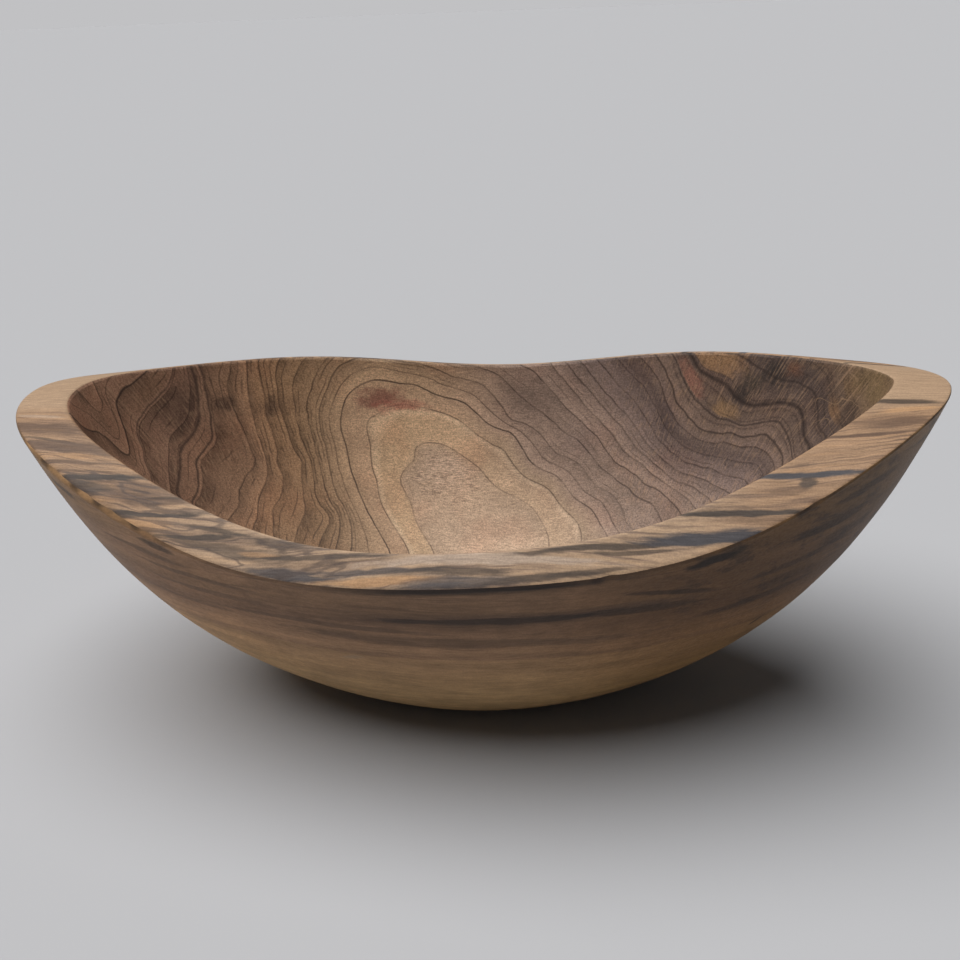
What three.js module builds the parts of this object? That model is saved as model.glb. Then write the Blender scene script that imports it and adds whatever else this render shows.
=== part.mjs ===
// A hand-carved wooden bowl: one piece of wood, cut from half a log, in millimetres with +Z up.
// +X runs along the log's grain and is the bowl's long way. The bowl rests on a small flat at z = 0,
// and the origin is below the middle of its overall length and width.
// The rim isn't level: it arches over the long axis, so the two ends stand high and the two long sides
// dip, and each long side waves a little where it was cut by hand.

import * as THREE from 'three';
import { ParametricGeometry } from 'three/addons/geometries/ParametricGeometry.js';
import { mergeVertices } from 'three/addons/utils/BufferGeometryUtils.js';

// The plan: a long oval around a low point, measured as a fraction of the half length.
const HALF_LENGTH = 195;
const WIDTH_RATIO = 0.597;            // half width over half length
const WIDTH_TAPER = 0.027;            // the +X half is a little fuller than the -X half
const OVAL_POWER = 1.913;             // 2 is a true ellipse, and less is more pointed
const OVAL_POWER_TAPER = -0.169;      // the +X end is more pointed than the -X end
const SOFTENING = 0.05;               // keeps the wall smooth where it crosses the oval's two axes
const LOW_POINT = { x: -6.4, y: 1.5 };

// The outer wall: its height is a polynomial in the squared plan distance.
const WALL_RISE = [105.9, -35.6, 77.8];
const FOOT_CUT = 8;                   // how much of the rounded underside the resting flat takes off

// The rim surface, as heights above the uncut underside.
const RIM_HEIGHT = 155;
const RIM_TILT = 0.0146;              // the +X end stands higher
const END_SAG = 6.8;
const SIDE_DROP = [136, -92.2, 10];   // for the square, cube and fourth power of the sideways distance
const WAVE_LENGTH = 210;
const WAVE_FULL_AT = 111.5;           // the waves grow from the long axis to this sideways distance
const FAR_WAVE = { height: -3.1, phase: 0 };
const NEAR_WAVE = { height: 5.9, phase: 0.345 };

// The rim's face: wide at the two ends, narrow along the sides.
const RIM_WIDTH = { mean: 14.9, ends: 6.1, shoulders: 1.14 };
const EDGE_EASE = 1.4;                // how far the sharp edges are rounded off
const EASE_INWARD = 0.32;             // the share of that which is inward on the steep outer wall

// The hollow: its plan follows the rim at the top and rounds off to an oval towards the floor.
const FLOOR_THICKNESS = 13;
const HOLLOW_HALF = { x: 172, y: 104 };

// How finely the surface is divided.
const SEGMENTS = 84;
const WALL_ROWS = 13;
const EASE_ROWS = 2;
const FACE_ROWS = 2;
const HOLLOW_ROWS = 13;

const WALNUT = { color: 0x8a6a4c, roughness: 0.62, metalness: 0 };

const SEARCH_REACH = 312;             // well outside the outline in every direction
const SEARCH_STEPS = 40;
const TANGENT_STEP = 0.01;
const MERGE_DISTANCE = 0.001;

function softPower(value, power) {
  return Math.pow(value ** 2 + SOFTENING ** 2, power / 2) - Math.pow(SOFTENING, power);
}

// The squared distance of a plan point from the low point, 1 at the half length.
function planDistance(x, y) {
  const along = x / HALF_LENGTH;
  const power = OVAL_POWER + OVAL_POWER_TAPER * along;
  const ratio = WIDTH_RATIO * (1 + WIDTH_TAPER * along);
  const u = (x - LOW_POINT.x) / HALF_LENGTH;
  const v = (y - LOW_POINT.y) / (HALF_LENGTH * ratio);
  return Math.pow(softPower(u, power) + softPower(v, power), 2 / power);
}

function rise(q) {
  return WALL_RISE[0] * q + WALL_RISE[1] * q ** 2 + WALL_RISE[2] * q ** 3;
}

function wallHeight(x, y) {
  return rise(planDistance(x, y)) - FOOT_CUT;
}

function rimHeight(x, y) {
  const u = x / HALF_LENGTH;
  const v = y / HALF_LENGTH;
  const wave = y > 0 ? FAR_WAVE : NEAR_WAVE;
  const grown = THREE.MathUtils.smoothstep(Math.abs(y), 0, WAVE_FULL_AT);
  const arch = SIDE_DROP[0] * v ** 2 + SIDE_DROP[1] * v ** 3 + SIDE_DROP[2] * v ** 4;
  const ripple = grown * wave.height * Math.cos((2 * Math.PI * x) / WAVE_LENGTH - wave.phase);
  return RIM_HEIGHT - FOOT_CUT + RIM_TILT * x - END_SAG * u ** 2 - arch + ripple;
}

// The radius, along one direction from the middle, at which a rising quantity passes zero.
function radiusWhere(angle, quantity) {
  let low = 0;
  let high = SEARCH_REACH;
  for (let step = 0; step < SEARCH_STEPS; step += 1) {
    const middle = (low + high) / 2;
    const found = quantity(middle * Math.cos(angle), middle * Math.sin(angle));
    if (found < 0) low = middle;
    else high = middle;
  }
  return (low + high) / 2;
}

function outlineRadius(angle) {
  return radiusWhere(angle, (x, y) => wallHeight(x, y) - rimHeight(x, y));
}

function footRadius(angle) {
  return radiusWhere(angle, wallHeight);
}

function outlinePoint(angle) {
  const radius = outlineRadius(angle);
  return new THREE.Vector2(radius * Math.cos(angle), radius * Math.sin(angle));
}

// The inner edge of the rim lies square to the outline, one rim width in.
function innerEdgePoint(angle) {
  const ahead = outlinePoint(angle + TANGENT_STEP);
  const behind = outlinePoint(angle - TANGENT_STEP);
  const tangent = ahead.sub(behind).normalize();
  const ends = RIM_WIDTH.ends * Math.cos(2 * angle);
  const shoulders = RIM_WIDTH.shoulders * Math.cos(4 * angle);
  const width = RIM_WIDTH.mean + ends + shoulders;
  return outlinePoint(angle).add(new THREE.Vector2(-tangent.y, tangent.x).multiplyScalar(width));
}

function onRim(point) {
  return new THREE.Vector3(point.x, point.y, rimHeight(point.x, point.y));
}

function easedEdge(before, corner, after) {
  return new THREE.QuadraticBezierCurve3(before, corner, after).getPoints(EASE_ROWS);
}

// One cut through the bowl's wall: from the middle of the foot, up the outer wall, over the rim and
// down the hollow to the middle of its floor.
function sectionAt(angle) {
  const points = [new THREE.Vector3(0, 0, 0)];
  const outerRadius = outlineRadius(angle);
  const foot = footRadius(angle);
  const wallTop = outerRadius - EDGE_EASE * EASE_INWARD;
  const wallPoint = (radius) => {
    const x = radius * Math.cos(angle);
    const y = radius * Math.sin(angle);
    return new THREE.Vector3(x, y, Math.max(wallHeight(x, y), 0));
  };
  for (let row = 0; row < WALL_ROWS; row += 1) {
    const share = Math.sin((row / WALL_ROWS) * (Math.PI / 2));
    points.push(wallPoint(foot + (wallTop - foot) * share));
  }

  const outer = outlinePoint(angle);
  const inner = innerEdgePoint(angle);
  const easeShare = EDGE_EASE / outer.distanceTo(inner);
  const facePoint = (share) => onRim(outer.clone().lerp(inner, share));
  points.push(...easedEdge(wallPoint(wallTop), onRim(outer), facePoint(easeShare)));
  for (let row = 1; row < FACE_ROWS; row += 1) {
    points.push(facePoint(easeShare + (1 - 2 * easeShare) * (row / FACE_ROWS)));
  }

  const edge = onRim(inner);
  const rimDistance = planDistance(outer.x, outer.y);
  const towards = inner.clone().normalize();
  const oval = 1 / Math.hypot(towards.x / HOLLOW_HALF.x, towards.y / HOLLOW_HALF.y);
  const hollowPoint = (share) => {
    const reach = THREE.MathUtils.lerp(oval, inner.length(), share ** 2) * share;
    const depth = rise(rimDistance * share ** 2) / rise(rimDistance);
    const height = THREE.MathUtils.lerp(FLOOR_THICKNESS, edge.z, depth);
    return new THREE.Vector3(towards.x * reach, towards.y * reach, height);
  };
  const hollowTop = 1 - (EDGE_EASE * EASE_INWARD) / inner.length();
  points.push(...easedEdge(facePoint(1 - easeShare), edge, hollowPoint(hollowTop)));
  for (let row = 1; row <= HOLLOW_ROWS; row += 1) {
    points.push(hollowPoint(hollowTop * Math.cos((row / HOLLOW_ROWS) * (Math.PI / 2))));
  }
  return points;
}

// The closed surface that the sections span, moved so that its box stands centred over the origin.
function bowlGeometry() {
  const sections = [];
  for (let segment = 0; segment < SEGMENTS; segment += 1) {
    sections.push(sectionAt((2 * Math.PI * segment) / SEGMENTS));
  }
  const rows = sections[0].length - 1;
  const surface = (around, up, target) => {
    const section = sections[Math.round(around * SEGMENTS) % SEGMENTS];
    target.copy(section[Math.max(Math.round(up * rows), 0)]);
  };
  const grid = new ParametricGeometry(surface, SEGMENTS, rows);
  grid.deleteAttribute('normal');
  grid.deleteAttribute('uv');
  const geometry = mergeVertices(grid, MERGE_DISTANCE);
  geometry.computeBoundingBox();
  const middle = geometry.boundingBox.getCenter(new THREE.Vector3());
  geometry.translate(-middle.x, -middle.y, 0);
  geometry.computeVertexNormals();
  return geometry;
}

const bowlBody = new THREE.Mesh(bowlGeometry(), new THREE.MeshStandardMaterial(WALNUT));
bowlBody.name = 'bowl_body';

const carvedBowl = new THREE.Group();
carvedBowl.add(bowlBody);

export default carvedBowl;
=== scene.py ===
"""The looks of a hand-carved walnut bowl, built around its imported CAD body. Metres, +Z up.

The CAD body is replaced by a finely divided mesh of the same shape. The bowl is cut from half a log whose
grain runs along X, so the wood shows a different figure on each of its three surfaces: nested growth rings
in the hollow, dark streaks along the rim, and level bands on the outer wall.
"""

import math

import bpy
import numpy as np
from mathutils import Matrix, Vector


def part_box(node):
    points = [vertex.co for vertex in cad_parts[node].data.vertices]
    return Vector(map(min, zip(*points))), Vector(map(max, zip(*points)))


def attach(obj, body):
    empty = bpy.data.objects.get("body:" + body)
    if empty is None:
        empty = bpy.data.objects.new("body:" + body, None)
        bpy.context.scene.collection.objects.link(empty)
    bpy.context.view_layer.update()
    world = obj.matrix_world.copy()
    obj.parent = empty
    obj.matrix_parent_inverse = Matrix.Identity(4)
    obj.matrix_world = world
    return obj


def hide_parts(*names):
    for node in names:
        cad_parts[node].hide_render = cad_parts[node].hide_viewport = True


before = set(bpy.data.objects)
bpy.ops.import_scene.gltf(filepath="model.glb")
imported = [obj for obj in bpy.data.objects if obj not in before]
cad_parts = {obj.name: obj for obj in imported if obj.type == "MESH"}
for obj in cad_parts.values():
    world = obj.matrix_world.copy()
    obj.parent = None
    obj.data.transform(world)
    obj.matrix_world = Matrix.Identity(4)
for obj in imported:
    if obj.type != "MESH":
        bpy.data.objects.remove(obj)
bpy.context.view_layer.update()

MM = 0.001

# The plan: a long oval around a low point, measured as a fraction of the half length.
HALF_LENGTH = 195 * MM
WIDTH_RATIO = 0.597
WIDTH_TAPER = 0.027
OVAL_POWER = 1.913
OVAL_POWER_TAPER = -0.169
SOFTENING = 0.05
LOW_POINT = (-6.4 * MM, 1.5 * MM)

# The outer wall's height, as a polynomial in the squared plan distance, and the cut for the resting flat.
WALL_RISE = (105.9 * MM, -35.6 * MM, 77.8 * MM)
FOOT_CUT = 8 * MM

# The rim's height: tilted, sagging to the ends, dropping to the sides, with a wave along each side.
RIM_HEIGHT = 155 * MM
RIM_TILT = 0.0146
END_SAG = 6.8 * MM
SIDE_DROP = (136 * MM, -92.2 * MM, 10 * MM)
WAVE_LENGTH = 210 * MM
WAVE_FULL_AT = 111.5 * MM
FAR_WAVE = (-3.1 * MM, 0.0)
NEAR_WAVE = (5.9 * MM, 0.345)

# The rim's face, as a mean width and what the ends and the shoulders add to it, and its rounded edges.
RIM_WIDTH = (14.9 * MM, 6.1 * MM, 1.14 * MM)
EDGE_EASE = 1.4 * MM
EASE_INWARD = 0.32

# Along part of the near side the outer edge is worn: a wider bevel, and small nicks at places along X.
# The wear starts and is full at these distances from the long axis.
WEAR_START = 15 * MM
WEAR_FULL = 40 * MM
BEVEL = 2.2 * MM
BEVEL_MIDDLE = -150 * MM
BEVEL_REACH = 36 * MM
NICK_DEPTH = 1.1 * MM
NICK_REACH = 2.6 * MM
NICKS = [place * MM for place in (-163, -147, -136, -119, 58, 131)]

# The hollow.
FLOOR_THICKNESS = 13 * MM
HOLLOW_HALF = (172 * MM, 104 * MM)

# How finely the mesh is divided.
SEGMENTS = 600
FOOT_ROWS = 8
WALL_ROWS = 46
EASE_ROWS = 5
FACE_ROWS = 10
HOLLOW_ROWS = 84
SEARCH_STEPS = 45
SEARCH_REACH = 1.6 * HALF_LENGTH
TANGENT_STEP = 0.01
WALL, RIM, HOLLOW = range(3)          # the order of the materials
BOX_INSET = 0.05 * MM                 # the mesh stays this far inside the CAD body's box

# Tool marks. They fade out towards the foot and towards the middle of the hollow's floor, over these rows
# counted from each, and are half as deep on the rim.
MARK_DEPTH = 0.09 * MM
MARK_CLIMB = 0.3                      # the share that is kept of a move's up or down part
FOOT_FADE = (FOOT_ROWS + 2, FOOT_ROWS + 9)
FLOOR_FADE = (4, 24)
RIM_MARKS = 0.5

# The camera, the one soft light with a dim sky, and the plain floor under a dome.
CAMERA_PLACE = Vector((0.06736, -0.46342, 0.29088))
CAMERA_AZIMUTH = math.radians(7.93)
CAMERA_PITCH = math.radians(25.44)
CAMERA_ROLL = math.radians(2.16)
CAMERA_LENS = 43.2
CAMERA_SHIFT = 0.0599
SUN_DIRECTION = (-0.28, -0.01, 1.0)
SUN_STRENGTH = 3.75
SUN_SPREAD = math.radians(68)
SKY_STRENGTH = 0.065
SKY_COLOUR = (0.93, 0.97, 1.0, 1.0)
STAGE_RADIUS = 18.0
STAGE_SEGMENTS = 64
DOME_ROWS = 16
FLOOR_COLOUR = (178, 178, 180)
DOME_COLOUR = (193, 193, 195)


def soft_power(value, power):
    return (value**2 + SOFTENING**2) ** (power / 2) - SOFTENING**power


def plan_distance(x, y):
    """The squared distance of a plan point from the low point, 1 at the half length."""
    along = x / HALF_LENGTH
    power = OVAL_POWER + OVAL_POWER_TAPER * along
    ratio = WIDTH_RATIO * (1 + WIDTH_TAPER * along)
    u = (x - LOW_POINT[0]) / HALF_LENGTH
    v = (y - LOW_POINT[1]) / (HALF_LENGTH * ratio)
    return (soft_power(u, power) + soft_power(v, power)) ** (2 / power)


def rise(q):
    return WALL_RISE[0] * q + WALL_RISE[1] * q**2 + WALL_RISE[2] * q**3


def wall_height(x, y):
    return rise(plan_distance(x, y)) - FOOT_CUT


def smoothstep(value, low, high):
    share = np.clip((value - low) / (high - low), 0, 1)
    return share * share * (3 - 2 * share)


def rim_height(x, y):
    u = x / HALF_LENGTH
    v = y / HALF_LENGTH
    grown = smoothstep(np.abs(y), 0, WAVE_FULL_AT)
    height = np.where(y > 0, FAR_WAVE[0], NEAR_WAVE[0])
    phase = np.where(y > 0, FAR_WAVE[1], NEAR_WAVE[1])
    arch = SIDE_DROP[0] * v**2 + SIDE_DROP[1] * v**3 + SIDE_DROP[2] * v**4
    ripple = grown * height * np.cos(2 * np.pi * x / WAVE_LENGTH - phase)
    return RIM_HEIGHT - FOOT_CUT + RIM_TILT * x - END_SAG * u**2 - arch + ripple


def radius_where(angle, quantity):
    """The radius, along each direction from the middle, at which a rising quantity passes zero."""
    low = np.zeros_like(angle)
    high = np.full_like(angle, SEARCH_REACH)
    for _ in range(SEARCH_STEPS):
        middle = (low + high) / 2
        below = quantity(middle * np.cos(angle), middle * np.sin(angle)) < 0
        low = np.where(below, middle, low)
        high = np.where(below, high, middle)
    return (low + high) / 2


def polar(radius, angle):
    return np.stack([radius * np.cos(angle), radius * np.sin(angle)], -1)


def outline_point(angle):
    return polar(radius_where(angle, lambda x, y: wall_height(x, y) - rim_height(x, y)), angle)


def inner_edge_point(angle):
    tangent = outline_point(angle + TANGENT_STEP) - outline_point(angle - TANGENT_STEP)
    tangent /= np.linalg.norm(tangent, axis=-1, keepdims=True)
    inward = np.stack([-tangent[:, 1], tangent[:, 0]], -1)
    width = RIM_WIDTH[0] + RIM_WIDTH[1] * np.cos(2 * angle) + RIM_WIDTH[2] * np.cos(4 * angle)
    return outline_point(angle) + inward * width[:, None]


def with_height(point, height):
    return np.concatenate([point, height[..., None]], -1)


def on_rim(point):
    return with_height(point, rim_height(point[..., 0], point[..., 1]))


def eased_edge(before, corner, after):
    """The rows of a rounded edge, without its first and last points."""
    shares = np.linspace(0, 1, EASE_ROWS + 1)[1:-1]
    return [before * (1 - t) ** 2 + corner * 2 * t * (1 - t) + after * t**2 for t in shares]


def worn_edge(point):
    """How far the outer edge is rounded off at points of the outline."""
    x = point[:, 0]
    near = smoothstep(-point[:, 1], WEAR_START, WEAR_FULL)
    wear = BEVEL * np.exp(-(((x - BEVEL_MIDDLE) / BEVEL_REACH) ** 4))
    for place in NICKS:
        wear += NICK_DEPTH * np.exp(-(((x - place) / NICK_REACH) ** 2))
    return EDGE_EASE + wear * near


def bowl_rows():
    """Rows of points round the bowl, from the foot's middle up the outer wall, over the rim and down the
    hollow, and how many of them belong to the outer wall and to the rim."""
    angle = 2 * np.pi * np.arange(SEGMENTS) / SEGMENTS
    outer = outline_point(angle)
    inner = inner_edge_point(angle)
    outer_radius = np.linalg.norm(outer, axis=-1)
    foot = radius_where(angle, wall_height)
    wear = worn_edge(outer)
    wall_top = outer_radius - wear * EASE_INWARD

    def wall_point(radius):
        point = polar(radius, angle)
        return with_height(point, np.maximum(wall_height(point[:, 0], point[:, 1]), 0))

    rows = [wall_point(foot * row / FOOT_ROWS) for row in range(1, FOOT_ROWS)]
    for row in range(WALL_ROWS + 1):
        share = math.sin(row / WALL_ROWS * math.pi / 2)
        rows.append(wall_point(foot + (wall_top - foot) * share))

    width = np.linalg.norm(outer - inner, axis=-1)
    outer_ease = (wear / width)[:, None]
    inner_ease = (EDGE_EASE / width)[:, None]

    def face_point(share):
        return on_rim(outer * (1 - share) + inner * share)

    rows += eased_edge(rows[-1], on_rim(outer), face_point(outer_ease))
    wall_count = len(rows) - EASE_ROWS // 2
    for row in range(FACE_ROWS + 1):
        rows.append(face_point(outer_ease + (1 - inner_ease - outer_ease) * row / FACE_ROWS))

    edge = on_rim(inner)
    reach_full = np.linalg.norm(inner, axis=-1)
    towards = inner / reach_full[:, None]
    oval = 1 / np.hypot(towards[:, 0] / HOLLOW_HALF[0], towards[:, 1] / HOLLOW_HALF[1])
    rim_distance = plan_distance(outer[:, 0], outer[:, 1])

    def hollow_point(share):
        reach = (oval + (reach_full - oval) * share**2) * share
        depth = rise(rim_distance * share**2) / rise(rim_distance)
        height = FLOOR_THICKNESS + (edge[:, 2] - FLOOR_THICKNESS) * depth
        return with_height(towards * reach[:, None], height)

    hollow_top = 1 - EDGE_EASE * EASE_INWARD / reach_full
    rows += eased_edge(rows[-1], edge, hollow_point(hollow_top))
    rim_count = len(rows) - EASE_ROWS // 2 - wall_count
    for row in range(HOLLOW_ROWS):
        rows.append(hollow_point(hollow_top * math.cos(row / HOLLOW_ROWS * math.pi / 2)))
    return np.array(rows), wall_count, rim_count


def fit_to_box(points, low, high):
    """The points, moved and very slightly scaled so that their own box becomes the given one."""
    old_low = points.min((0, 1))
    old_high = points.max((0, 1))
    return low + (points - old_low) / (old_high - old_low) * (high - low)


# Growth rings in the hollow, in millimetres: each ring's course as (along X, across), where the distance
# across is Y plus a share of the height, and so runs on up the walls. Ring 1 is the innermost.
UP_SHARE = 0.6
TURN_OVER = 12                        # the share changes sides smoothly, within about this much of Y = 0
RINGS = {
    1: [(-28, 62), (-37, 77), (-41, 90), (-47, 101), (-45, 107), (-40, 113), (-40, 119), (-31, 123),
        (-17, 119), (-8, 113), (0, 104), (14, 96), (24, 86), (30, 71), (18, 34), (-6, 16), (-24, 34)],
    2: [(-40, 60), (-52, 80), (-58, 98), (-62, 116), (-58, 132), (-40, 139), (-20, 136), (0, 124),
        (16, 108), (38, 87), (46, 68), (38, 20), (10, -14), (-20, -4), (-35, 28)],
    3: [(-49, 58), (-62, 80), (-71, 100), (-76, 120), (-74, 136), (-61, 147), (-40, 149), (-18, 144),
        (8, 131), (32, 108), (50, 88), (59, 70), (56, 14), (28, -40), (-12, -46), (-42, -8), (-45, 28)],
    5: [(-68, 60), (-76, 84), (-84, 112), (-83, 138), (-71, 153), (-47, 158), (-21, 154), (10, 136),
        (33, 118), (52, 99), (68, 76), (77, 10), (54, -66), (8, -96), (-38, -86), (-62, -30), (-66, 20)],
    6: [(-10, 160), (16, 145), (42, 125), (58, 106), (80, 83), (90, 10), (80, -60)],
    7: [(-95, 143), (-97, 120), (-90, 99), (-79, 72), (-76, 10), (-84, -60)],
    8: [(-107, 136), (-103, 118), (-94, 98), (-91, 66), (29, 161), (44, 143), (57, 128), (74, 106),
        (93, 85)],
    9: [(-114, 135), (-110, 114), (-105, 94), (-104, 66), (-100, 0), (-104, -80)],
    10: [(44, 158), (63, 135), (77, 115), (94, 95), (112, 30), (108, -60)],
    11: [(-125, 131), (-123, 108), (-115, 90), (-118, 60), (-116, 0), (-118, -80)],
    12: [(-138, 124), (-133, 103), (-135, 75), (-134, 40), (-132, -60), (78, 138), (88, 116), (98, 104),
         (119, 88)],
    14: [(-147, 116), (-153, 90), (-156, 60), (-152, -40), (88, 140), (98, 119), (115, 104), (130, 94),
         (137, 78), (134, 20), (130, -60)],
    16: [(90, 152), (98, 133), (110, 116), (120, 107), (134, 99), (141, 82), (-168, 40), (-168, -10)],
    18: [(97, 150), (104, 138), (114, 128), (126, 112), (139, 103), (146, 80), (146, 10), (142, -60)],
    20: [(118, 142), (134, 124), (148, 104), (153, 76), (154, -30)],
    22: [(150, 118), (160, 92), (163, 50), (164, -20)],
}
RING_SMOOTHING = 4.0


def ring_field(x, across):
    """The ring number at points of the hollow: the smoothest surface through the rings' courses."""
    nodes = np.array([point for course in RINGS.values() for point in course], float)
    level = np.array([ring for ring, course in RINGS.items() for _ in course], float)

    def kernel(a, b):
        square = ((a[:, None] - b[None]) ** 2).sum(-1)
        return square * np.log(square + 1e-9) / 2

    def plane(points):
        return np.column_stack([np.ones(len(points)), points])

    size = len(nodes)
    system = np.zeros((size + 3, size + 3))
    system[:size, :size] = kernel(nodes, nodes) + RING_SMOOTHING * np.eye(size)
    system[:size, size:] = plane(nodes)
    system[size:, :size] = plane(nodes).T
    weights = np.linalg.solve(system, np.append(level, np.zeros(3)))
    points = np.column_stack([x, across])
    return kernel(points, nodes) @ weights[:size] + plane(points) @ weights[size:]


def steepness(rows, field):
    """How fast a field changes along the surface, per millimetre."""
    up = np.gradient(rows, axis=0)
    around = (np.roll(rows, -1, 1) - np.roll(rows, 1, 1)) / 2
    field_up = np.gradient(field, axis=0)
    field_around = (np.roll(field, -1, 1) - np.roll(field, 1, 1)) / 2
    a = (up * up).sum(-1)
    b = (up * around).sum(-1)
    c = (around * around).sum(-1)
    square = (c * field_up**2 - 2 * b * field_up * field_around + a * field_around**2) / (a * c - b * b)
    return np.sqrt(np.maximum(square, 0)) * MM


def hand_marks(rows, wall_count, rim_count):
    """Moves the surface towards the bowl's middle by parts of a millimetre, more in some places than in
    others, as a gouge and sandpaper leave it."""
    x, y, z = (rows[..., axis] / MM for axis in range(3))
    waves = np.sin(x / 11 + 1.7 * np.sin(z / 19)) * np.sin(y / 13 + 1.1 * np.sin(x / 23))
    waves += 0.6 * np.sin(x / 5.3 + z / 9 + 2 * np.sin(y / 17))
    depth = MARK_DEPTH * (1.6 + waves)
    inward = np.array([0, 0, RIM_HEIGHT / 2]) - rows
    inward /= np.linalg.norm(inward, axis=-1, keepdims=True)
    inward[..., 2] *= MARK_CLIMB
    count = len(rows)
    places = [*FOOT_FADE, count - FLOOR_FADE[1], count - FLOOR_FADE[0]]
    fade = np.interp(np.arange(count), places, [0, 1, 1, 0])
    fade[wall_count - 3:wall_count + rim_count + 3] = RIM_MARKS
    return rows + inward * (depth * fade[:, None])[..., None]


def bowl_faces(count, wall_count, rim_count):
    """Faces between the rows and round the middles of the foot and the floor, and the surface of each."""
    here = np.arange(SEGMENTS)
    after = (here + 1) % SEGMENTS
    faces = []
    surfaces = []
    for row in range(count - 1):
        base = row * SEGMENTS
        above = base + SEGMENTS
        faces += np.column_stack([base + here, base + after, above + after, above + here]).tolist()
        surface = WALL if row < wall_count else RIM if row < wall_count + rim_count else HOLLOW
        surfaces += [surface] * SEGMENTS
    foot_index = count * SEGMENTS
    floor_index = foot_index + 1
    last = (count - 1) * SEGMENTS
    for segment in range(SEGMENTS):
        faces.append([foot_index, int(after[segment]), segment])
        surfaces.append(WALL)
    for segment in range(SEGMENTS):
        faces.append([floor_index, last + segment, last + int(after[segment])])
        surfaces.append(HOLLOW)
    return faces, surfaces


def figure_fields(rows, wall_count, rim_count):
    """What the materials need to know at each point, beyond its place."""
    count = len(rows)
    aside = rows[..., 1] / MM
    side = aside / np.hypot(aside, TURN_OVER)
    across = aside + side * UP_SHARE * (rows[..., 2] - FLOOR_THICKNESS) / MM
    start = wall_count + rim_count - EASE_ROWS
    ring = np.zeros((count, SEGMENTS))
    hollow_ring = ring_field(rows[start:, :, 0].ravel() / MM, across[start:].ravel())
    ring[start:] = hollow_ring.reshape(count - start, SEGMENTS)
    slope = np.ones((count, SEGMENTS))
    slope[start:] = steepness(rows[start:], ring[start:])
    below_rim = (rows[wall_count + 1, :, 2][None] - rows[..., 2]) / MM
    return {"ring": ring, "ring_slope": slope, "across": across, "below_rim": below_rim}


def bowl_mesh():
    rows, wall_count, rim_count = bowl_rows()
    low, high = (np.array(corner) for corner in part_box("bowl_body"))
    rows = fit_to_box(rows, low + BOX_INSET, high - BOX_INSET)
    rows[:FOOT_ROWS, :, 2] = low[2]
    rows = hand_marks(rows, wall_count, rim_count)
    foot_middle = rows[0].mean(0)
    foot_middle[2] = low[2]
    floor_middle = rows[-1].mean(0)
    points = np.concatenate([rows.reshape(-1, 3), [foot_middle, floor_middle]])
    faces, surfaces = bowl_faces(len(rows), wall_count, rim_count)

    mesh = bpy.data.meshes.new("carved_bowl")
    mesh.from_pydata(points.tolist(), [], faces)
    mesh.polygons.foreach_set("material_index", surfaces)
    mesh.polygons.foreach_set("use_smooth", [True] * len(faces))
    for name, values in figure_fields(rows, wall_count, rim_count).items():
        middles = [values[0].mean(), values[-1].mean()]
        attribute = mesh.attributes.new(name, "FLOAT", "POINT")
        attribute.data.foreach_set("value", np.append(values.ravel(), middles).astype(np.float32))
    mesh.update()
    return mesh


def srgb(red, green, blue):
    """A colour given in 8-bit sRGB, as the linear values that shaders use."""
    def linear(value):
        value /= 255
        return value / 12.92 if value <= 0.04045 else ((value + 0.055) / 1.055) ** 2.4
    return (linear(red), linear(green), linear(blue), 1.0)


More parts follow.
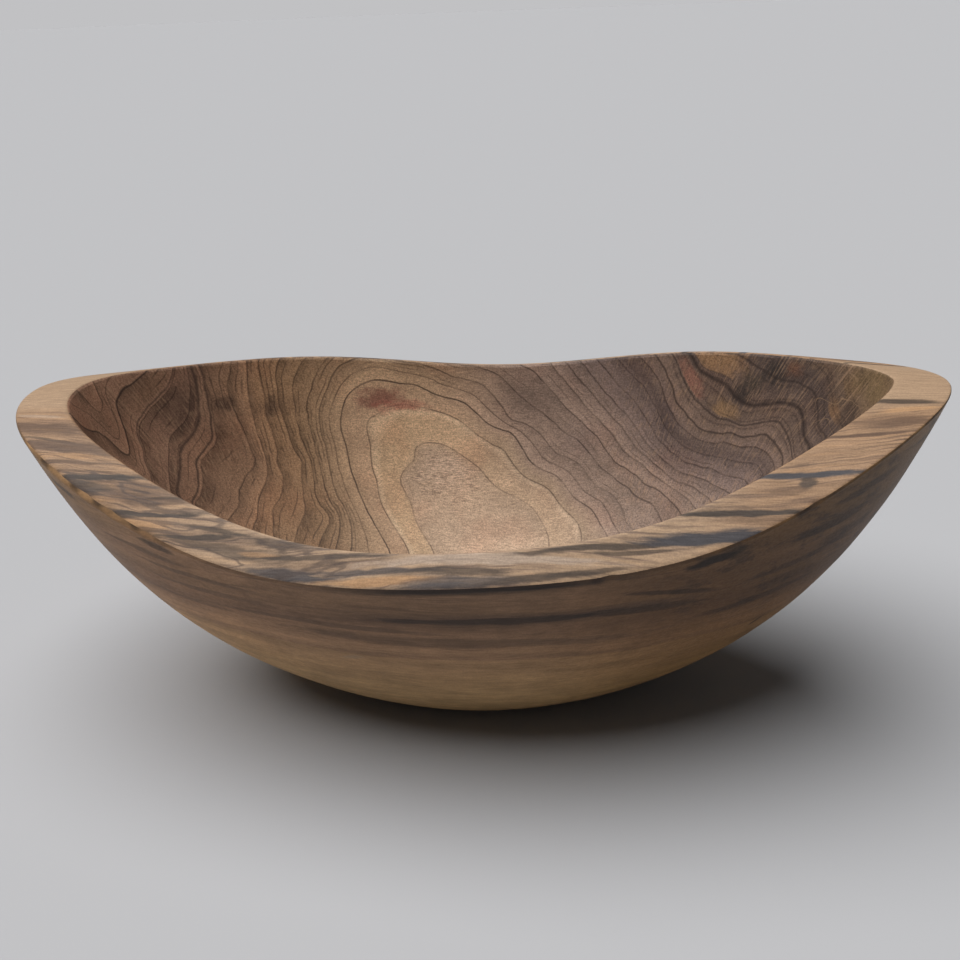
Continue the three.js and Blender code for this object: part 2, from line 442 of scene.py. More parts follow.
class Shader:
    """One material's node tree, built so that each step reads as a line of arithmetic."""

    def __init__(self, name):
        self.material = bpy.data.materials.new(name)
        self.material.use_nodes = True
        self.tree = self.material.node_tree
        self.tree.nodes.clear()
        place = self.node("TexCoord").outputs["Object"]
        self.place = self.vector("SCALE", place, scale=1 / MM)
        self.x, self.y, self.z = self.node("SeparateXYZ", {"Vector": self.place}).outputs

    def node(self, kind, inputs=None, **settings):
        node = self.tree.nodes.new("ShaderNode" + kind)
        for key, value in settings.items():
            setattr(node, key, value)
        for key, value in (inputs or {}).items():
            socket = node.inputs[key]
            if isinstance(value, bpy.types.NodeSocket):
                self.tree.links.new(value, socket)
            else:
                socket.default_value = value
        return node

    def math(self, operation, a, b=0.0, c=0.0):
        return self.node("Math", {0: a, 1: b, 2: c}, operation=operation).outputs[0]

    def add(self, a, b):
        return self.math("ADD", a, b)

    def sub(self, a, b):
        return self.math("SUBTRACT", a, b)

    def mul(self, a, b):
        return self.math("MULTIPLY", a, b)

    def vector(self, operation, a, b=(0, 0, 0), scale=1.0):
        return self.node("VectorMath", {0: a, 1: b, 3: scale}, operation=operation).outputs[0]

    def combine(self, x, y, z=0.0):
        return self.node("CombineXYZ", {"X": x, "Y": y, "Z": z}).outputs[0]

    def smooth(self, value, low, high, start=0.0, end=1.0):
        """Goes smoothly from start to end as a value goes from low to high."""
        inputs = {"Value": value, "From Min": low, "From Max": high, "To Min": start, "To Max": end}
        return self.node("MapRange", inputs, interpolation_type="SMOOTHSTEP").outputs[0]

    def noise(self, place, size, detail=2.0, roughness=0.5):
        """Noise from 0 to 1 with features of about a size; three sizes stretch it along the axes."""
        sizes = size if isinstance(size, tuple) else (size, size, size)
        scaled = self.vector("DIVIDE", place, sizes)
        inputs = {"Vector": scaled, "Scale": 1.0, "Detail": detail, "Roughness": roughness}
        return self.node("TexNoise", inputs).outputs["Fac"]

    def swing(self, place, size, amount, detail=2.0):
        """Noise from minus to plus an amount."""
        return self.mul(self.sub(self.noise(place, size, detail), 0.5), 2 * amount)

    def random(self, value):
        return self.node("TexWhiteNoise", {"W": value}, noise_dimensions="1D").outputs["Value"]

    def attribute(self, name):
        return self.node("Attribute", attribute_name=name).outputs["Fac"]

    def ramp(self, value, low, high, stops):
        """Colours at given values between low and high."""
        share = self.node("MapRange", {"Value": value, "From Min": low, "From Max": high}).outputs[0]
        node = self.node("ValToRGB", {"Fac": share})
        elements = node.color_ramp.elements
        elements.remove(elements[1])
        for index, (at, colour) in enumerate(stops):
            position = (at - low) / (high - low)
            element = elements[0] if index == 0 else elements.new(position)
            element.position = position
            element.color = colour
        return node.outputs["Color"]

    def mix(self, factor, a, b, blend="MIX"):
        node = self.node("Mix", {0: factor}, data_type="RGBA", blend_type=blend)
        for socket, value in ((node.inputs[6], a), (node.inputs[7], b)):
            if isinstance(value, bpy.types.NodeSocket):
                self.tree.links.new(value, socket)
            else:
                socket.default_value = value
        return node.outputs[2]

    def brighten(self, colour, factor):
        """The colour times a factor that may itself vary over the surface."""
        return self.vector("SCALE", colour, scale=factor)

    def patch(self, offset, uneven, ragged, softness):
        """1 in the middle of a patch and 0 outside it, with an uneven edge. The offset is in radii."""
        distance = self.node("VectorMath", {0: offset}, operation="LENGTH").outputs["Value"]
        return self.smooth(self.math("MULTIPLY_ADD", uneven, ragged, distance), 1.05, softness)

    def spot(self, centre, radii, uneven):
        """A patch around a point."""
        offset = self.vector("DIVIDE", self.vector("SUBTRACT", self.place, centre), radii)
        return self.patch(offset, uneven, 1.5, 0.15)

    def streak(self, level, centre, half, climb, uneven):
        """A lens-shaped streak, at a place along X and a level of the wood."""
        along = self.sub(self.x, centre[0])
        aside = self.sub(self.math("MULTIPLY_ADD", along, -climb, level), centre[1])
        offset = self.combine(self.mul(along, 1 / half[0]), self.mul(aside, 1 / half[1]))
        return self.patch(offset, uneven, 1.1, 0.5)

    def finish(self, colour, roughness, height, bump=0.25, depth=0.4 * MM):
        normal = self.node("Bump", {"Strength": bump, "Distance": depth, "Height": height}).outputs[0]
        inputs = {"Base Color": colour, "Roughness": roughness, "Normal": normal}
        shader = self.node("BsdfPrincipled", inputs)
        shader.inputs["Specular IOR Level"].default_value = 0.35
        output = self.node("OutputMaterial")
        self.tree.links.new(shader.outputs[0], output.inputs["Surface"])
        return self.material


# Rings that show more than the others, as a ring number, half width, the end of the bowl that shows them
# (-1 or 1 along X), and strength.
BOLD_RINGS = [
    (3.0, 0.6, -1, 0.45), (5.0, 0.6, -1, 0.35), (12.1, 1.1, -1, 0.8), (12.6, 1.5, -1, 0.75),
    (14.1, 1.0, -1, 0.7), (15.0, 1.0, -1, 0.7), (6.2, 3.4, 1, 0.16), (12.3, 3.2, 1, 0.4),
    (14.0, 0.9, 1, 0.7), (15.5, 0.9, 1, 0.75), (17.6, 1.9, 1, 0.9), (19.3, 1.3, 1, 0.7),
    (20.7, 0.9, 1, 0.4),
]

# Stains on the hollow, as a place, radii, the rings that they lie between, colour and strength.
ANY_RINGS = (-99, 99)
HOLLOW_STAINS = [
    ((-58, 85, 105), (18, 14, 8), (2.0, 3.0), (124, 66, 58), 0.75),
    ((-47, 86, 100), (20, 12, 5), (1.8, 2.4), (172, 103, 86), 0.75),
    ((18, 91, 104), (22, 14, 13), (3.0, 99), (108, 90, 80), 0.4),
    ((45, 82, 84), (18, 12, 16), (3.0, 99), (122, 106, 101), 0.3),
    ((-24, 78, 73), (26, 18, 18), (-99, 1.0), (213, 183, 157), 0.85),
    ((-122, 42, 86), (18, 22, 16), ANY_RINGS, (152, 119, 93), 0.35),
    ((-108, 66, 107), (36, 16, 6), ANY_RINGS, (90, 66, 52), 0.35),
    ((87, 72, 101), (9, 16, 16), (11.2, 13.3), (80, 66, 65), 0.6),
    ((-128, 53, 112), (7, 9, 7), ANY_RINGS, (56, 41, 36), 0.7),
    ((-108, 65, 107), (4, 9, 8), ANY_RINGS, (59, 45, 38), 0.6),
    ((-141, 42, 115), (19, 36, 20), (12.7, 14.1), (75, 56, 47), 0.6),
    ((-154, 32, 124), (12, 30, 24), (14.15, 15.0), (124, 93, 70), 0.6),
    ((-158, 22, 122), (12, 22, 16), (15.1, 99), (83, 63, 52), 0.35),
    ((96, 73, 117), (10, 12, 20), (15.65, 17.3), (152, 106, 89), 0.85),
    ((113, 60, 108), (12, 9, 8), (15.7, 17.4), (150, 118, 84), 0.8),
    ((110, 70, 130), (25, 18, 12), (17.95, 99), (160, 123, 88), 0.9),
    ((125, 57, 123), (10, 9, 8), (17.9, 99), (66, 60, 50), 0.65),
    ((133, 51, 129), (7, 9, 9), ANY_RINGS, (48, 43, 41), 0.8),
    ((120, 57, 117), (6, 8, 7), (16.8, 99), (47, 41, 39), 0.75),
    ((139, 43, 126), (14, 11, 9), (19.4, 99), (72, 55, 49), 0.75),
    ((161, 14, 124), (9, 12, 8), (20.8, 99), (74, 58, 50), 0.65),
    ((141, 44, 134), (5, 7, 5), ANY_RINGS, (133, 90, 66), 0.6),
    ((120, 60, 133), (10, 8, 4), (19.6, 99), (75, 65, 50), 0.6),
    ((161, 19, 134), (10, 11, 7), (21.6, 99), (120, 94, 66), 0.65),
    ((155, 22, 121), (5, 9, 9), (20.3, 21.6), (135, 103, 76), 0.9),
    ((169, 8, 138), (12, 18, 12), ANY_RINGS, (120, 99, 66), 0.6),
]

# Streaks on the rim, as a place along X and a level, half length and half thickness, how much the level
# climbs along X, colour and strength. A level is the distance from the long axis plus this bend times
# the square of the place.
RIM_STREAK_BEND = 0.0005
GREY = (70, 58, 49)
BLUE_GREY = (70, 66, 68)
BROWN = (98, 74, 57)
ORANGE = (185, 142, 100)
PALE = (184, 162, 143)
RIM_STREAKS = [
    ((-172, 58), (28, 5.5), 0, BROWN, 0.5), ((-152, 65.5), (32, 4.2), -0.06, BROWN, 0.55),
    ((-130, 80.5), (34, 5.6), -0.12, BROWN, 0.65), ((-88, 91), (32, 3.4), 0.02, BROWN, 0.5),
    ((-40, 98.5), (34, 2.2), 0.04, BROWN, 0.35), ((166, 53), (20, 5.5), 0, BROWN, 0.4),
    ((18, 99.6), (55, 1.8), 0, PALE, 0.7), ((0, 105), (48, 2.4), 0, BLUE_GREY, 0.2),
    ((-168, 57.5), (10, 1.2), 0, ORANGE, 0.5), ((-136, 80), (8, 1.6), -0.1, ORANGE, 0.55),
    ((-176, 48.5), (14, 1.6), 0, PALE, 0.4), ((-128, 88.4), (14, 0.8), -0.12, GREY, 0.7),
    ((-171, 56.5), (25, 4.6), 0, BROWN, 0.75), ((-163, 63.6), (22, 0.9), 0, GREY, 0.6),
    ((-159, 66), (25, 3.4), -0.1, BROWN, 0.8), ((-152, 70), (18, 1.8), -0.1, ORANGE, 0.6),
    ((-155, 73.4), (22, 0.9), -0.12, BROWN, 0.8), ((-148, 76.2), (18, 0.8), -0.12, BROWN, 0.6),
    ((-137, 77), (30, 1.5), -0.17, GREY, 1.0), ((-142, 81.4), (15, 2.9), -0.1, GREY, 0.8),
    ((-132, 84), (10, 1.5), -0.1, ORANGE, 0.6), ((-116, 81.5), (28, 2.4), -0.1, BROWN, 0.7),
    ((-106, 79.5), (15, 0.7), -0.1, GREY, 0.6), ((-115, 86), (28, 1), -0.1, GREY, 0.95),
    ((-118, 89.5), (16, 2.2), -0.1, ORANGE, 0.7), ((-93, 90.3), (24, 0.8), -0.08, GREY, 0.9),
    ((-87, 88), (16, 0.9), 0.08, GREY, 0.8), ((-78, 94), (30, 2.6), 0.1, GREY, 0.65),
    ((-68, 94.6), (9, 1), 0.05, ORANGE, 0.5), ((-61, 91.5), (15, 2.2), 0.1, GREY, 0.65),
    ((-45, 96.4), (38, 0.8), 0.04, GREY, 0.8), ((-55, 100.4), (25, 1.8), 0.1, BLUE_GREY, 0.9),
    ((-22, 101.4), (35, 1), 0.05, BLUE_GREY, 0.8), ((-20, 104), (28, 1.4), 0.05, ORANGE, 0.8),
    ((-46, 104.6), (19, 1.6), 0.05, BLUE_GREY, 0.85), ((-10, 106.8), (28, 1.1), 0, BLUE_GREY, 0.6),
    ((8, 102.8), (28, 1.6), 0.02, GREY, 0.75), ((10, 106), (28, 1.8), 0, BLUE_GREY, 0.7),
    ((38, 104.6), (25, 1.3), -0.1, GREY, 0.8), ((55, 102.4), (20, 0.9), -0.12, GREY, 0.7),
    ((62, 95), (40, 1.2), -0.1, GREY, 0.9), ((96, 91.2), (30, 2.6), -0.05, BLUE_GREY, 1.0),
    ((72, 95.8), (25, 0.8), -0.09, GREY, 0.75), ((110, 83.8), (35, 1.2), 0.02, GREY, 1.0),
    ((115, 86.5), (20, 1.8), 0.05, BROWN, 0.45), ((134, 72.8), (34, 1.6), 0.07, BLUE_GREY, 1.0),
    ((133, 75.5), (4, 3), 0, GREY, 0.85), ((125, 77.5), (11, 1.8), 0.05, BROWN, 0.5),
    ((155, 58.8), (28, 1), 0.03, BROWN, 0.95), ((170, 53.5), (15, 3.4), 0, BROWN, 0.7),
    ((172, 40.6), (18, 2.4), 0.1, GREY, 0.9), ((174, 46), (14, 1.8), 0, ORANGE, 0.6),
]

# Streaks on the outer wall, in the same way, with the height as the level.
DARK = (42, 32, 27)
DUSKY = (84, 65, 52)
SCUFF = (158, 136, 113)
WALL_STREAKS = [
    ((22, 83.3), (54, 2.3), 0.05, DARK, 1.0), ((30, 84), (80, 4.5), 0.04, DUSKY, 0.5),
    ((-46, 76.5), (56, 1.5), -0.02, DUSKY, 0.6), ((8, 71), (84, 3.0), 0.0, DUSKY, 0.55),
    ((-120, 98), (26, 1.5), -0.14, DUSKY, 0.5), ((-98, 91), (32, 1.4), -0.1, DUSKY, 0.55),
    ((-92, 84), (34, 1.7), -0.06, DUSKY, 0.5), ((-106, 76), (26, 1.3), -0.08, DUSKY, 0.35),
    ((-110, 102.5), (9, 2.6), -0.2, DARK, 0.7), ((-156, 116), (10, 2.2), -0.3, DARK, 0.6),
    ((100, 104), (13, 2.6), 0.25, DARK, 0.95), ((84, 91), (24, 1.8), -0.16, DARK, 0.65),
    ((72, 84), (28, 2.6), -0.03, DARK, 0.55), ((118, 77), (30, 2.2), 0.12, DARK, 0.5),
    ((132, 92), (24, 2.4), 0.15, DARK, 0.5), ((142, 107), (18, 3.4), 0.2, DARK, 0.7),
    ((156, 120), (16, 3.0), 0.3, DARK, 0.6), ((150, 99), (13, 4.5), 0.2, DARK, 0.55),
    ((128, 84), (16, 4.5), 0.1, DARK, 0.35), ((-37, 59), (6, 1.4), 0.2, SCUFF, 0.5),
    ((120, 60), (3.5, 0.6), 0.6, (32, 24, 20), 0.9),
]


def uneven_rings(s):
    """The ring number, a little unsteady as wood is, and how many rings there are to a millimetre."""
    slope = s.math("MAXIMUM", s.attribute("ring_slope"), 0.01)
    ring = s.attribute("ring")
    wander = s.add(s.swing(s.place, 20.0, 2.2, 1.0), s.swing(s.place, 6.5, 0.9, 1.0))
    wander = s.mul(wander, s.smooth(ring, 1.0, 8.0, 0.25, 1.0))
    return s.add(ring, s.mul(wander, slope)), slope


def ring_lines(s, ring, slope):
    """Thin dark lines: one on each ring, and fainter ones between."""
    index = s.math("FLOOR", ring)
    part = s.math("FRACT", ring)
    nearest = s.math("DIVIDE", s.math("MINIMUM", part, s.sub(1.0, part)), slope)
    strength = s.math("MULTIPLY_ADD", s.random(index), 0.5, 0.45)
    fading = s.smooth(s.noise(s.place, 13.0), 0.34, 0.6, 0.4, 1.0)
    line = s.mul(s.smooth(nearest, 0.6, 0.1), s.mul(strength, fading))
    line = s.mul(line, s.smooth(ring, 0.4, 0.6))

    # There are more of the faint ones at the -X end.
    for shift, spread, patchy, last in ((0.3, 0.1, 16.0, 11.5), (0.6, 0.14, 12.0, 2.0)):
        at = s.math("MULTIPLY_ADD", s.random(s.add(index, shift)), spread, shift)
        faint = s.smooth(s.math("DIVIDE", s.math("ABSOLUTE", s.sub(part, at)), slope), 0.55, 0.1)
        faint = s.mul(faint, s.mul(s.smooth(ring, 3.0, 5.5), s.smooth(s.noise(s.place, patchy), 0.42, 0.6)))
        there = s.math("MAXIMUM", s.smooth(s.x, 0, -30), s.smooth(ring, last + 1.0, last, 0.0, 0.7))
        line = s.math("MAXIMUM", line, s.mul(faint, s.mul(there, 0.62)))
    weaker = s.mul(s.smooth(ring, 13.2, 14.0, 0.0, 0.55), s.smooth(s.x, 20, 60))
    return s.mul(line, s.sub(1.0, weaker))


def ring_colours(s, ring, slope):
    """The wood between the lines: pale at the core and darker outward, differently towards each end."""
    left = s.ramp(ring, 0, 20, [
        (0.0, srgb(192, 164, 138)), (0.95, srgb(191, 163, 136)), (1.05, srgb(196, 165, 131)),
        (1.65, srgb(195, 164, 130)), (1.9, srgb(214, 185, 151)), (2.05, srgb(176, 146, 118)),
        (3.5, srgb(168, 139, 110)), (5, srgb(160, 131, 102)), (7, srgb(153, 122, 92)),
        (9, srgb(149, 116, 87)), (10.5, srgb(142, 110, 85)), (13, srgb(126, 97, 79)),
        (16, srgb(138, 105, 84)), (20, srgb(160, 124, 99)),
    ])
    right = s.ramp(ring, 0, 24, [
        (0.0, srgb(192, 164, 138)), (0.95, srgb(191, 163, 136)), (1.05, srgb(189, 160, 131)),
        (1.7, srgb(183, 155, 128)), (1.9, srgb(199, 171, 143)), (2.05, srgb(168, 143, 118)),
        (3.2, srgb(157, 133, 116)), (5, srgb(143, 121, 106)), (8, srgb(145, 123, 109)),
        (10.5, srgb(116, 98, 90)), (12, srgb(107, 90, 83)), (14, srgb(115, 95, 83)),
        (17, srgb(96, 79, 69)), (20, srgb(81, 67, 61)), (24, srgb(124, 99, 73)),
    ])
    colour = s.mix(s.smooth(s.x, -50, 20), left, right)

    # The walls are paler towards the rim, and more so at the two ends: painted light, for the light that
    # falls more on the upper walls.
    ends = s.smooth(s.math("ABSOLUTE", s.add(s.x, 5.0)), 25, 75)
    low = s.math("MULTIPLY_ADD", ends, -0.12, 0.96)
    high = s.smooth(s.x, -30, -80, 1.26, 1.37)
    colour = s.brighten(colour, s.smooth(s.z, 30, 110, low, high))

    # Broad light and dark clouds, and each ring a little different from the next.
    cloud = s.noise(s.place, (34.0, 22.0, 22.0), 4.0, 0.6)
    colour = s.brighten(colour, s.smooth(cloud, 0.3, 0.7, 0.88, 1.12))
    change = s.random(s.add(s.math("FLOOR", ring), 40.0))
    colour = s.brighten(colour, s.math("MULTIPLY_ADD", change, 0.16, 0.92))

    # Each ring darkens outward.
    part = s.math("FRACT", ring)
    shade = s.mul(s.smooth(part, 0.3, 1.0, 0.0, 0.38), s.smooth(ring, 3.0, 8.0, 0.3, 1.0))
    shade = s.mul(shade, s.smooth(s.noise(s.place, 15.0), 0.3, 0.65, 0.3, 1.0))
    shade = s.mul(shade, s.smooth(s.x, -40, -90, 1.0, 1.35))
    colour = s.brighten(colour, s.sub(1.07, shade))

    # Beside each ring runs a thin paler edge, a painted highlight on the ring's ridge: outside it at the -X
    # end, inside it at the +X end.
    turned = s.math("MULTIPLY_ADD", part, -2.0, 1.0)
    beside = s.math("MULTIPLY_ADD", s.math("GREATER_THAN", s.x, 0.0), turned, part)
    beside = s.math("DIVIDE", beside, slope)
    edge = s.mul(s.smooth(beside, 0.5, 0.9), s.smooth(beside, 2.2, 1.2))
    colour = s.brighten(colour, s.math("MULTIPLY_ADD", s.mul(edge, s.smooth(ring, 6.0, 10.0)), 0.13, 1.0))
    rosy = s.smooth(s.noise(s.place, 26.0), 0.45, 0.75, 0.0, 0.22)
    return s.mix(rosy, colour, s.mix(1.0, colour, srgb(255, 212, 196), "MULTIPLY"))


def with_stains(s, colour, ring, uneven):
    """Adds a reddish stain above ring 2, dark ones where the grain turns, and tan ones on the whorl."""
    for centre, radii, (inner, outer), tint, amount in HOLLOW_STAINS:
        stain = s.mul(s.spot(centre, radii, uneven), amount)
        if (inner, outer) != ANY_RINGS:
            between = s.mul(s.smooth(ring, inner, inner + 0.12), s.smooth(ring, outer, outer - 0.3))
            stain = s.mul(stain, between)
        colour = s.mix(stain, colour, srgb(*tint))
    return colour


def open_pores(s, ring, uneven):
    """Pores run along X: dashes on the sides, most of all at the core, and specks near the ends."""
    core = s.mul(s.spot((-24, 75, 66), (32, 24, 20), uneven), s.smooth(ring, 1.1, 0.9, 0.15, 1.0))
    dashes = s.smooth(s.noise(s.place, (5.5, 0.7, 0.45), 1.0), 0.5, 0.64)
    specks = s.smooth(s.noise(s.place, (0.9, 0.7, 0.7), 1.0), 0.58, 0.74)
    return s.add(s.mul(dashes, s.mul(core, 0.5)), s.mul(specks, 0.34))


def scratches(s):
    """Pale and dark scratches that climb the walls, leaning outward towards the ends of the bowl."""
    across = s.attribute("across")
    lean = s.math("DIVIDE", s.x, s.math("MULTIPLY_ADD", s.z, 1 / 180, 0.9))
    fine = s.noise(s.combine(s.mul(lean, 1 / 0.42), s.mul(across, 1 / 4.5), 0.0), 1.0, 2.0, 0.6)
    long = s.noise(s.combine(s.mul(lean, 1 / 0.6), s.mul(across, 1 / 11.0), 5.0), 1.0, 1.0)
    long = s.mul(s.smooth(long, 0.62, 0.72), s.smooth(s.x, 70, 110))
    outward = s.smooth(s.math("ABSOLUTE", s.add(s.x, 8.0)), 40, 88, 0.12, 1.0)
    scratched = s.mul(outward, s.smooth(s.noise(s.place, 11.0), 0.3, 0.6, 0.4, 1.0))
    pale = s.mul(s.math("MAXIMUM", s.smooth(fine, 0.5, 0.68), long), scratched)
    dark = s.mul(s.smooth(fine, 0.48, 0.32), scratched)
    return pale, dark


def with_bold_rings(s, colour, ring, slope, uneven):
    """Adds the rings that show most, as broken dark lines of their own widths."""
    for number, half_width, end, amount in BOLD_RINGS:
        away = s.math("DIVIDE", s.math("ABSOLUTE", s.sub(ring, number)), slope)
        bold = s.mul(s.smooth(away, half_width, 0.0), s.smooth(s.x, -40 * end, 10 * end))
        bold = s.mul(bold, s.mul(s.smooth(uneven, -0.35, 0.1, 0.55, 1.0), amount))
        colour = s.mix(bold, colour, srgb(50, 38, 34))
    return colour


def hollow_material():
    s = Shader("walnut_hollow")
    ring, slope = uneven_rings(s)
    uneven = s.sub(s.noise(s.place, (5.0, 3.5, 3.5), 4.0, 0.7), 0.5)
    colour = with_stains(s, ring_colours(s, ring, slope), ring, uneven)
    fibre = s.noise(s.place, (5.0, 0.7, 0.7), 3.0, 0.65)
    colour = s.brighten(colour, s.smooth(fibre, 0.3, 0.7, 0.82, 1.16))
    pores = open_pores(s, ring, uneven)
    colour = s.mix(pores, colour, srgb(77, 54, 43))
    grit = s.noise(s.place, 0.7, 2.0, 0.75)
    colour = s.brighten(colour, s.smooth(grit, 0.28, 0.72, 0.7, 1.28))
    pale, dark = scratches(s)
    colour = s.mix(s.mul(pale, 0.46), colour, srgb(174, 141, 112))
    colour = s.brighten(colour, s.math("MULTIPLY_ADD", dark, -0.28, 1.0))
    line = ring_lines(s, ring, slope)
    colour = s.mix(s.mul(line, 0.85), colour, srgb(52, 36, 30))
    colour = with_bold_rings(s, colour, ring, slope, uneven)

    # A few pale hair lines cross the whorl.
    crossing = s.math("ABSOLUTE", s.sub(s.noise(s.place, 15.0, 1.0), 0.5))
    hair = s.mul(s.smooth(crossing, 0.010, 0.002), s.spot((155, 24, 126), (20, 24, 20), uneven))
    colour = s.mix(s.mul(hair, 0.6), colour, srgb(165, 134, 104))

    roughness = s.smooth(fibre, 0.3, 0.7, 0.68, 0.56)
    height = s.add(s.mul(grit, 0.6), s.sub(s.mul(fibre, 0.8), s.add(s.mul(line, 0.5), pores)))
    return s.finish(colour, roughness, s.add(height, s.mul(pale, 0.4)))


def rim_layers(s, level):
    """The rim's wood before its streaks: plain at the two ends, and in fine layers along X between them."""
    inside = s.smooth(level, 38, 50)
    colour = s.mix(inside, srgb(169, 140, 112), srgb(168, 139, 111))
    band = s.noise(s.combine(s.mul(s.x, 1 / 46.0), s.mul(level, 1 / 4.0), 0.0), 1.0, 3.0, 0.6)
    colour = s.mix(s.mul(s.smooth(band, 0.52, 0.72), s.mul(inside, 0.5)), colour, srgb(116, 93, 80))
    thin = s.noise(s.combine(s.mul(s.x, 1 / 30.0), s.mul(level, 1 / 1.1), 3.0), 1.0, 3.0, 0.6)
    colour = s.mix(s.mul(s.smooth(thin, 0.5, 0.68), s.mul(inside, 0.7)), colour, srgb(96, 77, 67))
    colour = s.mix(s.mul(s.smooth(thin, 0.46, 0.3), s.mul(inside, 0.6)), colour, srgb(189, 153, 118))
    faint = s.noise(s.combine(s.mul(s.x, 1 / 60.0), s.mul(level, 1 / 1.8), 7.0), 1.0, 2.0)
    colour = s.brighten(colour, s.smooth(faint, 0.35, 0.65, 0.93, 1.06))

    # The layers are warmer towards the ends, and the middle is a little paler.
    apart = s.math("ABSOLUTE", s.x)
    ends = s.mul(s.smooth(apart, 85, 125), inside)
    colour = s.mix(ends, colour, s.mix(1.0, colour, srgb(240, 230, 219), "MULTIPLY"))
    return s.brighten(colour, s.smooth(apart, 85, 125, 1.07, 1.0))


def eye_outlines(s, level):
    """Thin dark outlines round eye-shaped patches, towards the -X end."""
    eyes = s.noise(s.combine(s.mul(s.x, 1 / 48.0), s.mul(level, 1 / 5.5), 11.0), 1.0, 2.0, 0.5)
    outline = s.smooth(s.math("ABSOLUTE", s.sub(eyes, 0.5)), 0.026, 0.006)
    return s.mul(outline, s.mul(s.smooth(level, 62, 76), s.smooth(s.x, 10, -45)))


def rim_material():
    s = Shader("walnut_rim")
    spread = s.math("ABSOLUTE", s.y)
    wander = s.add(s.swing(s.place, (44.0, 14.0, 14.0), 1.8), s.swing(s.place, (12.0, 5.0, 5.0), 0.6))
    level = s.add(s.math("MULTIPLY_ADD", s.mul(s.x, s.x), RIM_STREAK_BEND, spread), wander)
    colour = rim_layers(s, level)
    uneven = s.sub(s.noise(s.combine(s.x, s.mul(level, 9.0), 0.0), 13.0, 4.0, 0.65), 0.5)
    for centre, half, climb, tint, amount in RIM_STREAKS:
        colour = s.mix(s.mul(s.streak(level, centre, half, climb, uneven), amount), colour, srgb(*tint))
    colour = s.mix(s.mul(eye_outlines(s, level), 0.6), colour, srgb(74, 60, 54))
    fibre = s.noise(s.place, (9.0, 0.7, 0.7), 3.0, 0.6)
    colour = s.brighten(colour, s.smooth(fibre, 0.3, 0.7, 0.88, 1.12))
    grit = s.noise(s.place, 0.7, 2.0, 0.7)
    colour = s.brighten(colour, s.smooth(grit, 0.28, 0.72, 0.88, 1.12))
    roughness = s.smooth(fibre, 0.3, 0.7, 0.64, 0.54)
    return s.finish(colour, roughness, s.add(fibre, s.mul(grit, 0.4)), 0.18)


def with_painted_rim_shadow(s, colour, uneven, near):
    """Adds painted shadow: a dark line along under the rim, strongest on the near side, and in the nicks.
    """
    below = s.add(s.attribute("below_rim"), s.mul(uneven, 1.2))
    front = s.mul(s.smooth(s.x, -60, -5), s.smooth(s.x, 95, 40))
    # Painted shadow: a dark line just under the rim's edge, on the near side.
    edge = s.mul(s.smooth(below, 4.4, 1.8), s.mul(front, near))
    colour = s.mix(s.mul(edge, 0.92), colour, srgb(27, 22, 22))
    # Painted shade in a patchy band just under the rim, all round.
    painted_shade_band = s.mul(s.smooth(below, 2.6, 0.4), s.smooth(s.noise(s.place, 18.0), 0.3, 0.5))
    colour = s.mix(s.mul(painted_shade_band, 0.6), colour, srgb(50, 39, 34))
    # Painted shadow in the nicks of the worn edge.
    for place in NICKS:
        along = s.math("ABSOLUTE", s.sub(s.x, place / MM))
        painted_nick_shadow = s.mul(s.smooth(along, 3.2, 0.6), s.mul(s.smooth(below, 4.5, 1.0), near))
        colour = s.mix(s.mul(painted_nick_shadow, 0.7), colour, srgb(46, 34, 27))
    return colour


def wall_layers(s, level):
    """The outer wall's wood before its streaks: level layers, paler below, painted shade at +X, painted
    light at -X.
    """
    olive = srgb(186, 151, 106)
    colour = s.ramp(level, 0, 150, [
        (0, olive), (30, srgb(182, 147, 103)), (46, srgb(176, 140, 99)), (57, srgb(169, 133, 96)),
        (61, srgb(164, 129, 93)), (62, srgb(146, 113, 85)), (65, srgb(161, 125, 93)),
        (74, srgb(142, 109, 82)), (79, srgb(125, 95, 72)), (88, srgb(133, 102, 76)),
        (100, srgb(136, 105, 80)), (112, srgb(134, 104, 74)), (130, srgb(142, 112, 79)), (150, olive),
    ])
    # Painted shade towards the +X end and painted light towards the -X end, where the wall faces away from
    # the lamp and towards it, each with a warmer tint.
    right = s.smooth(s.x, 20, 100)
    left = s.smooth(s.x, -40, -120)
    colour = s.brighten(colour, s.math("MULTIPLY_ADD", right, -0.38, 1.0))
    colour = s.brighten(colour, s.math("MULTIPLY_ADD", left, 0.31, 1.0))
    warmth = s.math("MULTIPLY_ADD", left, 0.4, right)
    colour = s.mix(warmth, colour, s.mix(1.0, colour, srgb(255, 243, 222), "MULTIPLY"))
    layers = s.combine(s.mul(s.x, 1 / 70.0), s.mul(s.y, 1 / 70.0), s.mul(level, 1 / 4.5))
    band = s.noise(layers, 1.0, 3.0, 0.6)
    colour = s.brighten(colour, s.smooth(band, 0.35, 0.65, 1.09, 0.87))
    layers = s.combine(s.mul(s.x, 1 / 44.0), s.mul(s.y, 1 / 44.0), s.mul(level, 1 / 1.2))
    thin = s.noise(layers, 1.0, 3.0, 0.6)
    high = s.mul(s.smooth(level, 56, 74, 0.3, 1.0), s.smooth(left, 0.0, 1.0, 1.0, 0.45))
    colour = s.mix(s.mul(s.smooth(thin, 0.52, 0.72), s.mul(high, 0.5)), colour, srgb(83, 63, 50))
    mottle = s.noise(s.place, (16.0, 16.0, 9.0), 4.0, 0.65)
    colour = s.brighten(colour, s.smooth(mottle, 0.3, 0.7, 0.88, 1.12))
    blotch = s.mul(s.smooth(mottle, 0.48, 0.66), s.mul(s.smooth(s.x, 50, 110), s.smooth(level, 62, 84)))
    return s.mix(s.mul(blotch, 0.7), colour, srgb(54, 41, 33))


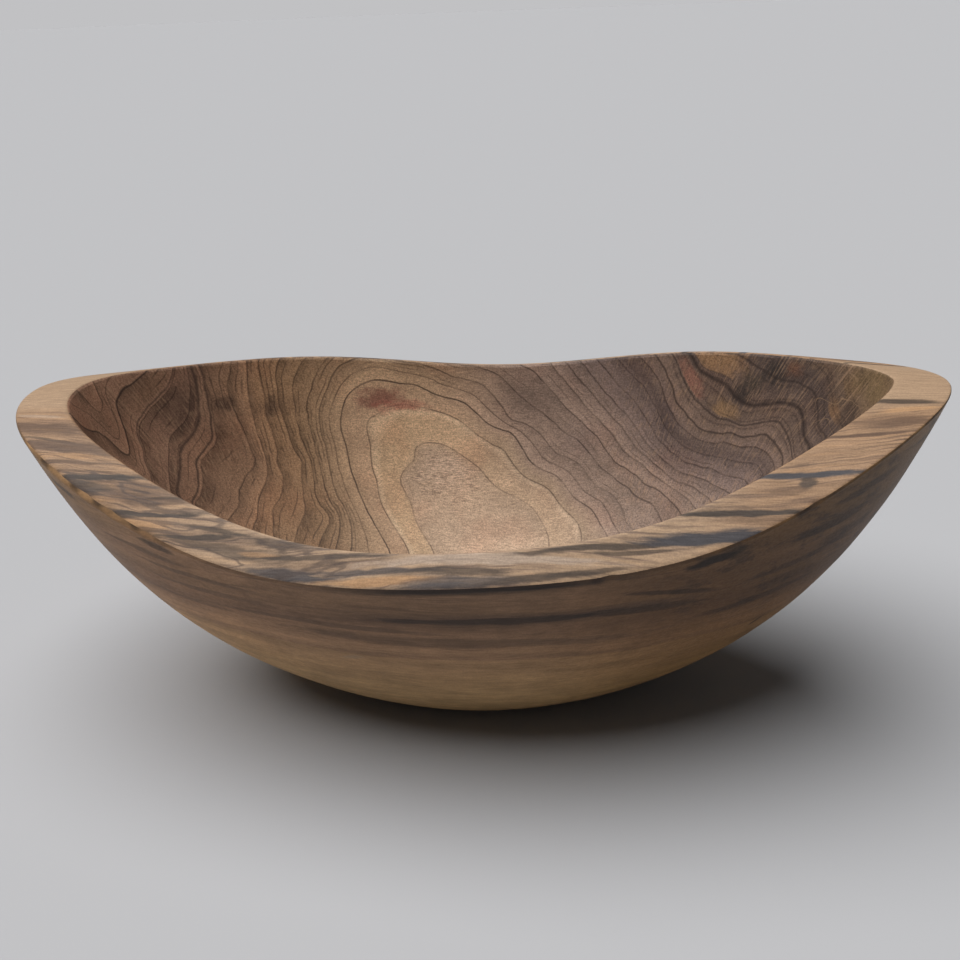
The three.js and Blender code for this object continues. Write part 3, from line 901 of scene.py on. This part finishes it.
def wall_material():
    s = Shader("walnut_outer_wall")
    wander = s.add(s.swing(s.place, (70.0, 70.0, 30.0), 3.0), s.swing(s.place, (22.0, 22.0, 6.0), 0.8))
    level = s.add(s.z, wander)
    colour = wall_layers(s, level)
    uneven = s.sub(s.noise(s.combine(s.x, s.mul(level, 8.0), s.y), 15.0, 4.0, 0.65), 0.5)
    near = s.smooth(s.y, 10, -10)
    for centre, half, climb, tint, amount in WALL_STREAKS:
        streak = s.mul(s.streak(level, centre, half, climb, uneven), s.mul(near, amount))
        colour = s.mix(streak, colour, srgb(*tint))
    colour = with_painted_rim_shadow(s, colour, uneven, near)
    fibre = s.noise(s.place, (10.0, 0.8, 0.8), 3.0, 0.6)
    colour = s.brighten(colour, s.smooth(fibre, 0.3, 0.7, 0.9, 1.1))
    grit = s.noise(s.place, 0.7, 2.0, 0.7)
    colour = s.brighten(colour, s.smooth(grit, 0.28, 0.72, 0.9, 1.1))
    roughness = s.smooth(fibre, 0.3, 0.7, 0.6, 0.5)
    return s.finish(colour, roughness, s.add(fibre, s.mul(grit, 0.3)), 0.2)


def make_bowl():
    mesh = bowl_mesh()
    for material in (wall_material(), rim_material(), hollow_material()):
        mesh.materials.append(material)
    bowl = bpy.data.objects.new("carved_bowl", mesh)
    bpy.context.scene.collection.objects.link(bowl)
    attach(bowl, "root")
    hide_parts("bowl_body")
    return bowl


def stage_object(name, mesh, colour, emission):
    material = bpy.data.materials.new(name)
    material.use_nodes = True
    shader = material.node_tree.nodes["Principled BSDF"]
    shader.inputs["Specular IOR Level"].default_value = 0.0
    shader.inputs["Base Color"].default_value = (0, 0, 0, 1) if emission else colour
    shader.inputs["Emission Color"].default_value = colour
    shader.inputs["Emission Strength"].default_value = emission
    mesh.materials.append(material)
    thing = bpy.data.objects.new(name, mesh)
    bpy.context.scene.collection.objects.link(thing)
    return thing


def make_floor():
    """A round pale floor, and a dome over it that only the camera sees, so that no horizon shows."""
    turns = [2 * math.pi * segment / STAGE_SEGMENTS for segment in range(STAGE_SEGMENTS)]
    rings = []
    for row in range(DOME_ROWS):
        climb = math.pi / 2 * row / DOME_ROWS
        radius = STAGE_RADIUS * math.cos(climb)
        height = STAGE_RADIUS * math.sin(climb)
        rings.append([(radius * math.cos(turn), radius * math.sin(turn), height) for turn in turns])
    floor_mesh = bpy.data.meshes.new("floor")
    floor_mesh.from_pydata(rings[0], [], [list(range(STAGE_SEGMENTS))])
    stage_object("floor", floor_mesh, srgb(*FLOOR_COLOUR), 0.0)
    faces = []
    for row in range(DOME_ROWS - 1):
        for segment in range(STAGE_SEGMENTS):
            after = (segment + 1) % STAGE_SEGMENTS
            low = row * STAGE_SEGMENTS
            high = low + STAGE_SEGMENTS
            faces.append((low + segment, low + after, high + after, high + segment))
    dome_mesh = bpy.data.meshes.new("dome")
    dome_mesh.from_pydata([point for ring in rings for point in ring], [], faces)
    dome = stage_object("dome", dome_mesh, srgb(*DOME_COLOUR), 1.0)
    dome.visible_diffuse = False
    dome.visible_glossy = False
    dome.visible_transmission = False
    dome.visible_shadow = False


def make_lights():
    world = bpy.data.worlds.new("studio")
    world.use_nodes = True
    background = world.node_tree.nodes["Background"]
    background.inputs["Color"].default_value = SKY_COLOUR
    background.inputs["Strength"].default_value = SKY_STRENGTH
    bpy.context.scene.world = world
    light = bpy.data.lights.new("softbox", "SUN")
    light.energy = SUN_STRENGTH
    light.angle = SUN_SPREAD
    lamp = bpy.data.objects.new("softbox", light)
    lamp.rotation_euler = Vector(SUN_DIRECTION).to_track_quat("Z", "Y").to_euler()
    bpy.context.scene.collection.objects.link(lamp)


def make_camera():
    data = bpy.data.cameras.new("camera")
    data.lens = CAMERA_LENS
    data.sensor_width = 36
    data.shift_y = CAMERA_SHIFT
    data.clip_start = 0.01
    camera = bpy.data.objects.new("camera", data)
    bpy.context.scene.collection.objects.link(camera)
    turned = Matrix.Rotation(CAMERA_AZIMUTH, 4, "Z") @ Matrix.Rotation(math.pi / 2 - CAMERA_PITCH, 4, "X")
    camera.matrix_world = Matrix.Translation(CAMERA_PLACE) @ turned @ Matrix.Rotation(-CAMERA_ROLL, 4, "Z")
    bpy.context.scene.camera = camera


make_camera()
make_lights()
make_floor()
make_bowl()
bpy.context.scene.view_settings.view_transform = "Standard"
